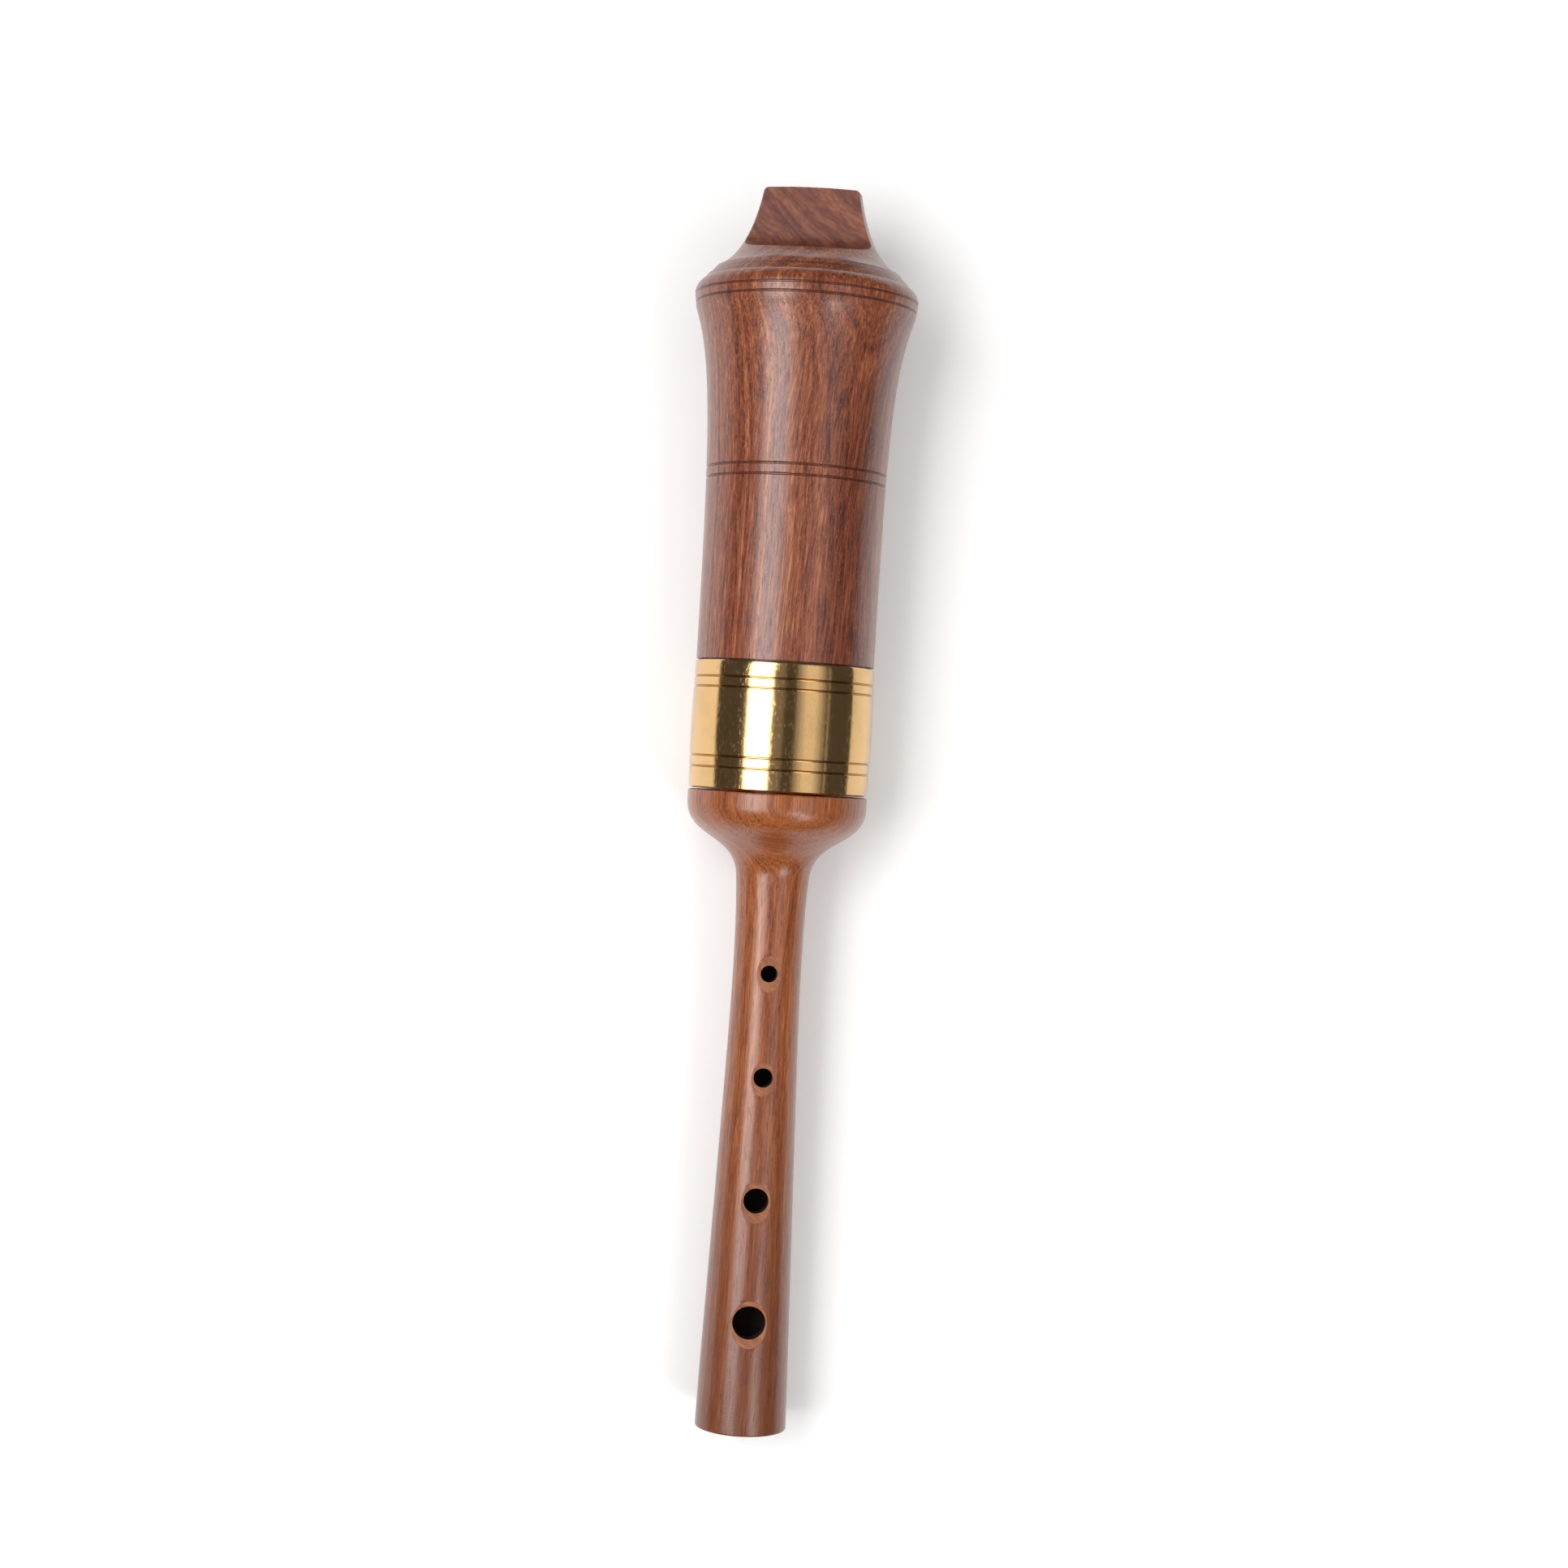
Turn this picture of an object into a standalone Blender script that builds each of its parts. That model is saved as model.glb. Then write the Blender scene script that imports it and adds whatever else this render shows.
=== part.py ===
"""A small shawm with a wind cap: a turned chanter with a double reed in its tenon, and a beaked cap pushed over both.

Every piece is drawn upright, as it stands in the lathe: heights are measured from the foot of the chanter along +Z,
and the finger holes and the front of the beak face -Y. One empty then lays the whole instrument down along +Y,
with the finger holes up and the middle of its length at the origin."""

import math

import bmesh
import bpy

MM = 0.001
MERGE = 0.001 * MM

# Turning: the sides of every round piece, and the steps of every curved stretch of an outline
SIDES = 30
CURVE_STEPS = 9
CREASE_ANGLE = math.radians(35)

# Clearances: between pieces that seat on each other, and between the tenon and its socket
SEAT_GAP = 0.3 * MM
TENON_CLEARANCE = 0.5 * MM

# Chanter: the pipe from its foot to its waist, the neck above it, the bulb, and the collar that the cap meets
FOOT_RADIUS = 9.55 * MM
PIPE_LENGTH = 95.8 * MM
WAIST_RADIUS = 7.13 * MM
NECK_LENGTH = 18.7 * MM
NECK_RADIUS = 7.6 * MM
BULB_LENGTH = 16.0 * MM
BULB_RADIUS = 18.75 * MM
COLLAR_LENGTH = 2.3 * MM
EDGE_CHAMFER = 0.3 * MM

# Chanter: tenon, reed well and bore
TENON_LENGTH = 22.0 * MM
TENON_CHAMFER = 0.6 * MM
LAPPING_LENGTH = 15.0 * MM
LAPPING_DEPTH = 1.2 * MM
WELL_RADIUS = 4.0 * MM
WELL_DEPTH = 18.0 * MM
BORE_FOOT_RADIUS = 6.0 * MM
BORE_TOP_RADIUS = 2.1 * MM

# Finger holes from the foot up, and the thumb hole: height, width, and depth of the scoop round the rim
FINGER_HOLES = (
    (23.4 * MM, 6.9 * MM, 0.81 * MM),
    (48.5 * MM, 5.2 * MM, 0.60 * MM),
    (73.9 * MM, 4.0 * MM, 0.40 * MM),
    (95.4 * MM, 3.5 * MM, 0.46 * MM),
)
THUMB_HOLE = (104.0 * MM, 3.5 * MM, 0.40 * MM)
SCOOP_RADIUS = 15.0 * MM
SCOOP_HALF_ANGLE = 30
DRILL_SIDES = 24

# Wind cap: the socket for the tenon, the chamber round the reed and the body from the cap's foot to its widest turn
SOCKET_RADIUS = 12.5 * MM
SOCKET_MARGIN = 1.0 * MM
CHAMBER_LEDGE = 1.0 * MM
CAP_BODY_LENGTH = 103.1 * MM
CAP_STRAIGHT = 12.3 * MM
CAP_RADIUS = 18.6 * MM
WIDEST_RADIUS = 23.4 * MM
FLARE_RADIUS = 22.95 * MM
FLARE_MARGIN = 3.0 * MM

# Wind cap: shoulder and beak, with heights above the widest turn
ROLL_RADIUS = 3.47 * MM
ROLL_ANGLE = 60
ARRIS_RADIUS = 21.07 * MM
ARRIS_HEIGHT = 3.8 * MM
ARRIS_STEP = 0.35 * MM
BAND_RADIUS = 19.36 * MM
BAND_HEIGHT = 5.6 * MM
BEAK_RADIUS = 10.4 * MM
BEAK_LENGTH = 23.2 * MM
TIP_ROUNDING = 1.0 * MM
TIP_ROUNDING_ANGLE = 80
TIP_CROWN = 0.3 * MM
CEILING_HEIGHT = 4.8 * MM
CEILING_DOME = 8.0 * MM
DOME_STEPS = 6

# Beak: the two flats, the ramps that run them out into the shoulder, and the blowing slot
CAP_TURN = math.radians(-8.6)
FLAT_TIP_DEPTH = 2.7 * MM
FLAT_FOOT_DEPTH = 4.2 * MM
FLAT_LENGTH = 10.5 * MM
RAMP_HEIGHT = 4.6 * MM
RAMP_REACH = 17.5 * MM
CUTTER_MARGIN = 5.0 * MM
SLOT_WIDTH = 11.0 * MM
SLOT_HEIGHT = 2.2 * MM
SLOT_END_STEPS = 8

# Ferrule, with its scribed lines measured from its lower and its upper edge
FERRULE_RADIUS = 18.7 * MM
FERRULE_SWELL = 0.25 * MM
FERRULE_WALL = 1.2 * MM
FERRULE_LENGTH = 26.6 * MM
FERRULE_LOW_LINES = (4.55 * MM, 6.8 * MM)
FERRULE_HIGH_LINES = (5.5 * MM, 3.4 * MM)
LINE_WIDTH = 0.5 * MM
LINE_DEPTH = 0.22 * MM

# Scribed grooves of the cap: two on the body, measured above the ferrule, and two measured below the widest turn
BODY_GROOVES = (38.1 * MM, 40.3 * MM)
SHOULDER_GROOVES = (1.9 * MM, 0.0 * MM)
GROOVE_WIDTH = 0.7 * MM
GROOVE_DEPTH = 0.3 * MM

# Reed: the staple, with the thread that seats it in its well
STAPLE_LENGTH = 38.0 * MM
STAPLE_TIP_RADIUS = 1.9 * MM
STAPLE_WALL = 0.5 * MM
SEATING_LENGTH = 13.0 * MM
SEATING_START = 2.0 * MM

# Reed: the two blades, and the thread and the wire round them
BLADE_OVERLAP = 8.0 * MM
BLADE_LENGTH = 28.0 * MM
THROAT_LENGTH = 9.0 * MM
BLADE_TIP_HALF_WIDTH = 4.6 * MM
BLADE_TIP_HALF_DEPTH = 0.75 * MM
BLADE_THICKNESS = 0.9 * MM
BLADE_TIP_THICKNESS = 0.35 * MM
BLADE_ARC_STEPS = 10
BINDING_THICKNESS = 0.7 * MM
BINDING_SKIRT = 1.6 * MM
BINDING_REACH = 8.0 * MM
BRIDLE_HEIGHT = 13.0 * MM
BRIDLE_WIRE_RADIUS = 0.35 * MM
BRIDLE_WIRE_SIDES = 8

# Curved stretches: how far each leaves its start and how it reaches its end, as shares of its change in radius
# and in height
PIPE_PULL = ((0.33, 0.33), (1.0, 0.85))
NECK_PULL = ((0.0, 0.4), (0.3, 0.8))
BULB_PULL = ((0.01, 0.6), (1.0, 0.475))
FLARE_PULL = ((0.0, 0.67), (0.274, 0.853))
BEAK_PULL = ((0.695, 0.175), (0.925, 0.79))
RAMP_PULL = ((0.02, 0.5), (0.17, 0.68))

# Heights and radii that follow from the sizes above
SEAM = PIPE_LENGTH + NECK_LENGTH + BULB_LENGTH + COLLAR_LENGTH
TENON_TOP = SEAM + TENON_LENGTH
TENON_RADIUS = SOCKET_RADIUS - TENON_CLEARANCE
LAPPING_START = SEAM + (TENON_LENGTH - LAPPING_LENGTH) / 2
LAPPING_END = LAPPING_START + LAPPING_LENGTH
WELL_FLOOR = TENON_TOP - WELL_DEPTH
CAP_FOOT = SEAM + SEAT_GAP
FERRULE_TOP = CAP_FOOT + FERRULE_LENGTH
FERRULE_BORE = FERRULE_RADIUS - FERRULE_WALL
WIDEST = CAP_FOOT + CAP_BODY_LENGTH
TIP = WIDEST + BEAK_LENGTH
SOCKET_TOP = TENON_TOP + SOCKET_MARGIN
CHAMBER_RADIUS = SOCKET_RADIUS - CHAMBER_LEDGE
CEILING = WIDEST + CEILING_HEIGHT
STAPLE_FOOT = WELL_FLOOR + SEAT_GAP
STAPLE_TOP = STAPLE_FOOT + STAPLE_LENGTH
STAPLE_FOOT_RADIUS = BORE_TOP_RADIUS + STAPLE_WALL
BLADE_FOOT = STAPLE_TOP - BLADE_OVERLAP


def mix(a, b, share):
    """The value a share of the way from a to b."""
    return a + (b - a) * share


def sweep(start, end, pull, steps=CURVE_STEPS):
    """Points of a cubic curve between two (radius, height) points, bent by its two pulls."""
    handles = [(mix(start[0], end[0], r), mix(start[1], end[1], z)) for r, z in pull]
    controls = (start, *handles, end)
    points = []
    for i in range(steps + 1):
        t = i / steps
        weights = ((1 - t) ** 3, 3 * (1 - t) ** 2 * t, 3 * (1 - t) * t**2, t**3)
        points.append(tuple(sum(w * p[axis] for w, p in zip(weights, controls)) for axis in (0, 1)))
    return points


def arc(centre, radii, start, end, steps=CURVE_STEPS):
    """Points of an arc of a circle or an ellipse, from a start angle to an end angle in degrees."""
    angles = [math.radians(mix(start, end, i / steps)) for i in range(steps + 1)]
    return [(centre[0] + radii[0] * math.cos(a), centre[1] + radii[1] * math.sin(a)) for a in angles]


def radius_at(outline, height):
    """The radius of a climbing outline at a height."""
    for (r0, z0), (r1, z1) in zip(outline, outline[1:]):
        if z0 <= height < z1:
            return mix(r0, r1, (height - z0) / (z1 - z0))
    return outline[-1][0]


def scribed(outline, heights, width, depth):
    """A climbing outline with a fine V groove cut into it at each height."""
    for height in heights:
        low, high = height - width / 2, height + width / 2
        groove = [
            (radius_at(outline, low), low),
            (radius_at(outline, height) - depth, height),
            (radius_at(outline, high), high),
        ]
        below = [point for point in outline if point[1] < low]
        above = [point for point in outline if point[1] > high]
        outline = below + groove + above
    return outline


def finish(name, colour, roughness, metallic=0.0):
    """A plain material for one piece."""
    made = bpy.data.materials.new(name)
    made.use_nodes = True
    shader = made.node_tree.nodes["Principled BSDF"]
    shader.inputs["Base Color"].default_value = (*colour, 1.0)
    shader.inputs["Roughness"].default_value = roughness
    shader.inputs["Metallic"].default_value = metallic
    made.diffuse_color = (*colour, 1.0)
    return made


def piece(name, shape, parent, material=None, turn=0.0):
    """An object made of a finished bmesh, smooth between its crisp edges. Without a material it is a cutter."""
    bmesh.ops.remove_doubles(shape, verts=shape.verts, dist=MERGE)
    bmesh.ops.recalc_face_normals(shape, faces=shape.faces)
    mesh = bpy.data.meshes.new(name)
    shape.to_mesh(mesh)
    shape.free()
    mesh.shade_smooth()
    mesh.set_sharp_from_angle(angle=CREASE_ANGLE)
    made = bpy.data.objects.new(name, mesh)
    made.parent = parent
    made.rotation_euler.z = turn
    bpy.context.scene.collection.objects.link(made)
    if material:
        mesh.materials.append(material)
    else:
        made.hide_render = True
        made.display_type = "WIRE"
    return made


def turned(name, outline, parent, material, closed=True):
    """A piece turned on the Z axis. An outline that isn't closed starts and ends on the axis."""
    shape = bmesh.new()
    corners = [shape.verts.new((radius, 0, height)) for radius, height in outline]
    followers = corners[1:] + corners[:1] if closed else corners[1:]
    edges = [shape.edges.new(pair) for pair in zip(corners, followers)]
    bmesh.ops.spin(
        shape,
        geom=corners + edges,
        axis=(0, 0, 1),
        cent=(0, 0, 0),
        angle=math.tau,
        steps=SIDES,
    )
    return piece(name, shape, parent, material)


def lofted(name, sections, parent, material=None, turn=0.0, ring=False):
    """A solid through a row of matching closed sections, which meets its own start if it is a ring."""
    shape = bmesh.new()
    loops = [[shape.verts.new(point) for point in section] for section in sections]
    followers = loops[1:] + loops[:1] if ring else loops[1:]
    for near, far in zip(loops, followers):
        sides = zip(near, near[1:] + near[:1], far[1:] + far[:1], far)
        for side in sides:
            shape.faces.new(side)
    if not ring:
        shape.faces.new(loops[0])
        shape.faces.new(loops[-1])
    return piece(name, shape, parent, material, turn)


def cut(solid, cutter):
    """Takes a cutter's shape out of a solid."""
    step = solid.modifiers.new(cutter.name, "BOOLEAN")
    step.operation = "DIFFERENCE"
    step.solver = "EXACT"
    step.object = cutter


def carrier(name, parent=None):
    """An empty on the instrument's axis, which carries the pieces of one body."""
    made = bpy.data.objects.new(name, None)
    made.parent = parent
    bpy.context.scene.collection.objects.link(made)
    return made


def pipe_outline():
    """The outside of the chanter, from its foot up to the collar."""
    foot = [(FOOT_RADIUS - EDGE_CHAMFER, 0), (FOOT_RADIUS, EDGE_CHAMFER)]
    waist = (WAIST_RADIUS, PIPE_LENGTH)
    neck = (NECK_RADIUS, PIPE_LENGTH + NECK_LENGTH)
    bulb = (BULB_RADIUS, neck[1] + BULB_LENGTH)
    pipe = sweep(foot[-1], waist, PIPE_PULL)[1:]
    throat = sweep(waist, neck, NECK_PULL, steps=4)[1:]
    cup = sweep(neck, bulb, BULB_PULL, steps=2 * CURVE_STEPS)[1:]
    collar = [(BULB_RADIUS, SEAM - EDGE_CHAMFER), (BULB_RADIUS - EDGE_CHAMFER, SEAM)]
    return foot + pipe + throat + cup + collar


def tenon_outline():
    """The outside of the tenon, with the groove that holds its lapping."""
    floor = TENON_RADIUS - LAPPING_DEPTH
    return [
        (TENON_RADIUS, SEAM),
        (TENON_RADIUS, LAPPING_START),
        (floor, LAPPING_START),
        (floor, LAPPING_END),
        (TENON_RADIUS, LAPPING_END),
        (TENON_RADIUS, TENON_TOP - TENON_CHAMFER),
        (TENON_RADIUS - TENON_CHAMFER, TENON_TOP),
    ]


def bore_outline():
    """The inside of the chanter, from the mouth of the reed well down to the foot."""
    return [
        (WELL_RADIUS, TENON_TOP),
        (WELL_RADIUS, WELL_FLOOR),
        (BORE_TOP_RADIUS, WELL_FLOOR),
        (BORE_FOOT_RADIUS, 0),
    ]


def tone_hole(chanter, name, outline, hole, side):
    """Drills a hole into the bore, on the side -1 for the front or 1 for the back, and scoops its rim."""
    height, width, scoop_depth = hole
    surface = radius_at(outline, height)
    rim = [(x, height + z) for x, z in arc((0, 0), (width / 2, width / 2), 0, 360, DRILL_SIDES)[1:]]
    drill = [[(x, side * reach, z) for x, z in rim] for reach in (0, surface + width)]
    centre = (surface + SCOOP_RADIUS - scoop_depth, height)
    far = 180 + SCOOP_HALF_ANGLE
    drum = arc(centre, (SCOOP_RADIUS, SCOOP_RADIUS), 180 - SCOOP_HALF_ANGLE, far, 2 * CURVE_STEPS)
    scoop = [[(x, side * reach, z) for reach, z in drum] for x in (-surface, surface)]
    cut(chanter, lofted(f"{name}_scoop", scoop, chanter.parent))
    cut(chanter, lofted(f"{name}_drill", drill, chanter.parent))


def make_chanter(body, wood, thread):
    """The chanter with its holes, and the lapping on its tenon."""
    outline = pipe_outline()
    chanter = turned("chanter", outline + tenon_outline() + bore_outline(), body, wood)
    for number, hole in enumerate(FINGER_HOLES, 1):
        tone_hole(chanter, f"finger_hole_{number}", outline, hole, -1)
    tone_hole(chanter, "thumb_hole", outline, THUMB_HOLE, 1)
    inner = TENON_RADIUS - LAPPING_DEPTH + SEAT_GAP
    turned("tenon_lapping", wound(inner, SOCKET_RADIUS - SEAT_GAP, LAPPING_START, LAPPING_END), body, thread)


def wound(inner, outer, low, high):
    """The outline of a band of thread between two shoulders, with soft outer edges."""
    low, high = low + SEAT_GAP, high - SEAT_GAP
    soft = (outer - inner) / 3
    return [
        (inner, low),
        (outer - soft, low),
        (outer, low + soft),
        (outer, high - soft),
        (outer - soft, high),
        (inner, high),
    ]


def cap_outline():
    """The outside of the cap, from the shoulder above its ferrule up to the middle of its tip."""
    flare_start = (CAP_RADIUS, FERRULE_TOP + CAP_STRAIGHT)
    flare_end = (FLARE_RADIUS, WIDEST - FLARE_MARGIN)
    body = [(CAP_RADIUS, FERRULE_TOP + SEAT_GAP)]
    body += sweep(flare_start, flare_end, FLARE_PULL, steps=2 * CURVE_STEPS)
    body += arc((WIDEST_RADIUS - ROLL_RADIUS, WIDEST), (ROLL_RADIUS, ROLL_RADIUS), 0, ROLL_ANGLE)
    grooves = [FERRULE_TOP + height for height in BODY_GROOVES]
    grooves += [WIDEST - height for height in SHOULDER_GROOVES]
    body = scribed(body, grooves, GROOVE_WIDTH, GROOVE_DEPTH)
    arris = [
        (ARRIS_RADIUS, WIDEST + ARRIS_HEIGHT),
        (ARRIS_RADIUS - ARRIS_STEP, WIDEST + ARRIS_HEIGHT + ARRIS_STEP / 2),
    ]
    edge = TIP - TIP_CROWN - TIP_ROUNDING
    beak = sweep((BAND_RADIUS, WIDEST + BAND_HEIGHT), (BEAK_RADIUS, edge), BEAK_PULL)
    centre = (BEAK_RADIUS - TIP_ROUNDING, edge)
    rounding = arc(centre, (TIP_ROUNDING, TIP_ROUNDING), 0, TIP_ROUNDING_ANGLE, steps=4)[1:]
    return body + arris + beak + rounding + [(0, TIP)]


def chamber_outline():
    """The inside of the cap, from the middle of its ceiling down to its foot, and the seat of the ferrule."""
    dome = arc((0, CEILING - CEILING_DOME), (CHAMBER_RADIUS, CEILING_DOME), 90, 0, DOME_STEPS)[1:]
    seat = FERRULE_BORE - SEAT_GAP
    return [(0, CEILING)] + dome + [
        (CHAMBER_RADIUS, SOCKET_TOP),
        (SOCKET_RADIUS, SOCKET_TOP),
        (SOCKET_RADIUS, CAP_FOOT + EDGE_CHAMFER),
        (SOCKET_RADIUS + EDGE_CHAMFER, CAP_FOOT),
        (seat, CAP_FOOT),
        (seat, FERRULE_TOP + SEAT_GAP),
    ]


def flat_sections(side):
    """What is filed off one face of the beak, on the side -1 for the front or 1 for the back."""
    half_width = WIDEST_RADIUS + CUTTER_MARGIN
    slope = (FLAT_FOOT_DEPTH - FLAT_TIP_DEPTH) / FLAT_LENGTH
    flat_foot = (FLAT_FOOT_DEPTH, TIP - FLAT_LENGTH)
    ramp = sweep(flat_foot, (RAMP_REACH, flat_foot[1] - RAMP_HEIGHT), RAMP_PULL)
    outline = [(FLAT_TIP_DEPTH - slope * CUTTER_MARGIN, TIP + CUTTER_MARGIN)]
    outline += ramp + [(half_width, ramp[-1][1]), (half_width, TIP + CUTTER_MARGIN)]
    return [[(x, side * reach, z) for reach, z in outline] for x in (-half_width, half_width)]


def slot_sections():
    """The blowing slot with its round ends, from the chamber out through the tip."""
    radius = SLOT_HEIGHT / 2
    offset = SLOT_WIDTH / 2 - radius
    rim = arc((offset, 0), (radius, radius), -90, 90, SLOT_END_STEPS)
    rim += arc((-offset, 0), (radius, radius), 90, 270, SLOT_END_STEPS)
    return [[(x, y, z) for x, y in rim] for z in (CEILING - CEILING_DOME / 2, TIP + CUTTER_MARGIN)]


def make_cap(body, wood, brass):
    """The cap with its beak, and the ferrule on its lower end."""
    cap = turned("windcap", chamber_outline() + cap_outline(), body, wood, closed=False)
    cut(cap, lofted("beak_flat_front", flat_sections(-1), body, turn=CAP_TURN))
    cut(cap, lofted("beak_flat_back", flat_sections(1), body, turn=CAP_TURN))
    cut(cap, lofted("blowing_slot", slot_sections(), body, turn=CAP_TURN))
    low_edge = (FERRULE_RADIUS, CAP_FOOT + EDGE_CHAMFER)
    high_edge = (FERRULE_RADIUS, FERRULE_TOP - EDGE_CHAMFER)
    middle = (FERRULE_RADIUS + FERRULE_SWELL, (CAP_FOOT + FERRULE_TOP) / 2)
    swell = sweep(low_edge, middle, ((0.5, 0.33), (1.0, 0.67)), steps=5)
    swell += sweep(middle, high_edge, ((0.0, 0.33), (0.5, 0.67)), steps=5)[1:]
    lines = [CAP_FOOT + height for height in FERRULE_LOW_LINES]
    lines += [FERRULE_TOP - height for height in FERRULE_HIGH_LINES]
    outline = [(FERRULE_BORE, FERRULE_TOP), (FERRULE_BORE, CAP_FOOT)]
    outline += [(FERRULE_RADIUS - EDGE_CHAMFER, CAP_FOOT)]
    outline += scribed(swell, lines, LINE_WIDTH, LINE_DEPTH)
    outline += [(FERRULE_RADIUS - EDGE_CHAMFER, FERRULE_TOP)]
    turned("ferrule", outline, body, brass)


def staple_radius(height):
    """The outer radius of the tapered staple at a height."""
    return mix(STAPLE_FOOT_RADIUS, STAPLE_TIP_RADIUS, (height - STAPLE_FOOT) / STAPLE_LENGTH)


def blade_size(height):
    """Half the width and half the depth across both blades at a height above their foot, and their thickness."""
    throat = staple_radius(BLADE_FOOT) + SEAT_GAP + BLADE_THICKNESS
    share = max(0, (height - THROAT_LENGTH) / (BLADE_LENGTH - THROAT_LENGTH))
    return (
        mix(throat, BLADE_TIP_HALF_WIDTH, share),
        mix(throat, BLADE_TIP_HALF_DEPTH, share),
        mix(BLADE_THICKNESS, BLADE_TIP_THICKNESS, share),
    )


def blade_section(height, side):
    """The C-shaped section of one blade, on the side -1 for the front or 1 for the back."""
    half_width, half_depth, thickness = blade_size(height)
    edge = (0, SEAT_GAP / 2)
    outer = arc(edge, (half_width, half_depth), 0, 180, BLADE_ARC_STEPS)
    inner = arc(edge, (half_width - thickness, half_depth - thickness), 180, 0, BLADE_ARC_STEPS)
    return [(x, side * y, BLADE_FOOT + height) for x, y in outer + inner]


def bridle_sections():
    """The bridle wire, which lies round both blades."""
    half_width, half_depth, _ = blade_size(BRIDLE_HEIGHT)
    spread = SEAT_GAP + BRIDLE_WIRE_RADIUS
    half_depth += SEAT_GAP / 2
    sections = []
    for i in range(SIDES):
        u = math.tau * i / SIDES
        out_x, out_y = math.cos(u), math.sin(u)
        ring = arc((0, 0), (BRIDLE_WIRE_RADIUS, BRIDLE_WIRE_RADIUS), 0, 360, BRIDLE_WIRE_SIDES)[1:]
        sections.append(
            [
                (
                    out_x * (half_width + spread + r),
                    out_y * (half_depth + spread + r),
                    BLADE_FOOT + BRIDLE_HEIGHT + z,
                )
                for r, z in ring
            ]
        )
    return sections


def make_reed(body, brass, thread, cane, wire):
    """The double reed: its staple in the well, two blades bound on it, and the wire that sets their opening."""
    staple = [
        (STAPLE_FOOT_RADIUS, STAPLE_FOOT),
        (STAPLE_TIP_RADIUS, STAPLE_TOP),
        (STAPLE_TIP_RADIUS - STAPLE_WALL, STAPLE_TOP),
        (BORE_TOP_RADIUS, STAPLE_FOOT),
    ]
    turned("reed_staple", staple, body, brass)
    low = STAPLE_FOOT + SEATING_START
    seating = wound(
        staple_radius(low) + SEAT_GAP, WELL_RADIUS - SEAT_GAP, low, low + SEATING_LENGTH
    )
    turned("staple_lapping", seating, body, thread)
    rises = [0] + [mix(THROAT_LENGTH, BLADE_LENGTH, i / CURVE_STEPS) for i in range(CURVE_STEPS + 1)]
    for name, side in (("reed_blade_front", -1), ("reed_blade_back", 1)):
        lofted(name, [blade_section(rise, side) for rise in rises], body, cane)
    neck = staple_radius(BLADE_FOOT - BINDING_SKIRT) + SEAT_GAP
    inner = blade_size(0)[0] + SEAT_GAP / 2 + SEAT_GAP
    outer = inner + BINDING_THICKNESS
    binding = [
        (neck, BLADE_FOOT - SEAT_GAP),
        (neck, BLADE_FOOT - BINDING_SKIRT),
        (neck + BINDING_THICKNESS, BLADE_FOOT - BINDING_SKIRT),
        (outer, BLADE_FOOT - SEAT_GAP),
        (outer, BLADE_FOOT + BINDING_REACH),
        (inner, BLADE_FOOT + BINDING_REACH),
        (inner, BLADE_FOOT - SEAT_GAP),
    ]
    turned("reed_binding", binding, body, thread)
    lofted("reed_bridle", bridle_sections(), body, wire, ring=True)


def main():
    """Clears the scene and makes the instrument, lying along +Y with its finger holes up."""
    for left_over in list(bpy.data.objects):
        bpy.data.objects.remove(left_over)
    instrument = carrier("instrument")
    instrument.rotation_euler.x = -math.pi / 2
    instrument.location.y = -TIP / 2
    make_chanter(
        carrier("chanter_body", instrument),
        finish("oiled_rosewood_chanter", (0.30, 0.09, 0.035), 0.35),
        finish("waxed_thread", (0.62, 0.52, 0.36), 0.85),
    )
    make_cap(
        carrier("cap_body", instrument),
        finish("oiled_rosewood_cap", (0.20, 0.06, 0.035), 0.35),
        finish("polished_brass", (0.80, 0.58, 0.28), 0.18, metallic=1.0),
    )
    make_reed(
        carrier("reed_body", instrument),
        finish("brass_tube", (0.76, 0.56, 0.28), 0.28, metallic=1.0),
        finish("red_thread", (0.45, 0.05, 0.04), 0.8),
        finish("scraped_cane", (0.78, 0.62, 0.34), 0.55),
        finish("brass_wire", (0.78, 0.55, 0.25), 0.3, metallic=1.0),
    )


main()
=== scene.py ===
"""The looks of a small shawm with a wind cap: turned rosewood, a brass ferrule, and a reed under the cap.

Sizes are in millimetres, and heights go up the instrument from its foot, as it stands in the lathe. lay()
puts a point into the row frame, where the instrument lies along +Y with its finger holes up and the middle
of its length at the origin."""

import math

import bmesh
import bpy
from mathutils import Matrix, Vector


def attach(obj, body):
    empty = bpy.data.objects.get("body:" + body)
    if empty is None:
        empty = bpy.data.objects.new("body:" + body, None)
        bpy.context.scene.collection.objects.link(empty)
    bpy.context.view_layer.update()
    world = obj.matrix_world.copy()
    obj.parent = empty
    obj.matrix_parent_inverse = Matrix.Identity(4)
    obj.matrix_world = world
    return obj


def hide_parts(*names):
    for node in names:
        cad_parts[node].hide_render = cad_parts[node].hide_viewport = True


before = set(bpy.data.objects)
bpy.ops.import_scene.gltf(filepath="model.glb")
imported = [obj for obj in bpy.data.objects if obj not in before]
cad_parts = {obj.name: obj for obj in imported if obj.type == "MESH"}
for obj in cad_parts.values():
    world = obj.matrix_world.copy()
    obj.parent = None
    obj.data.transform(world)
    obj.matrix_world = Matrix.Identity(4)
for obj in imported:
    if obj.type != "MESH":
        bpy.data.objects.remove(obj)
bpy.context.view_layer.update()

# How finely the pieces are made: points nearer than a hair are one, and a bend above the crease is crisp
MM = 0.001
SIDES = 120
WINDING_SIDES = 64
SMALL_SIDES = 48
LONGEST_EDGE = 1.6
HAIR = 0.0005
CREASE_ANGLE = math.radians(20)

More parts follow.
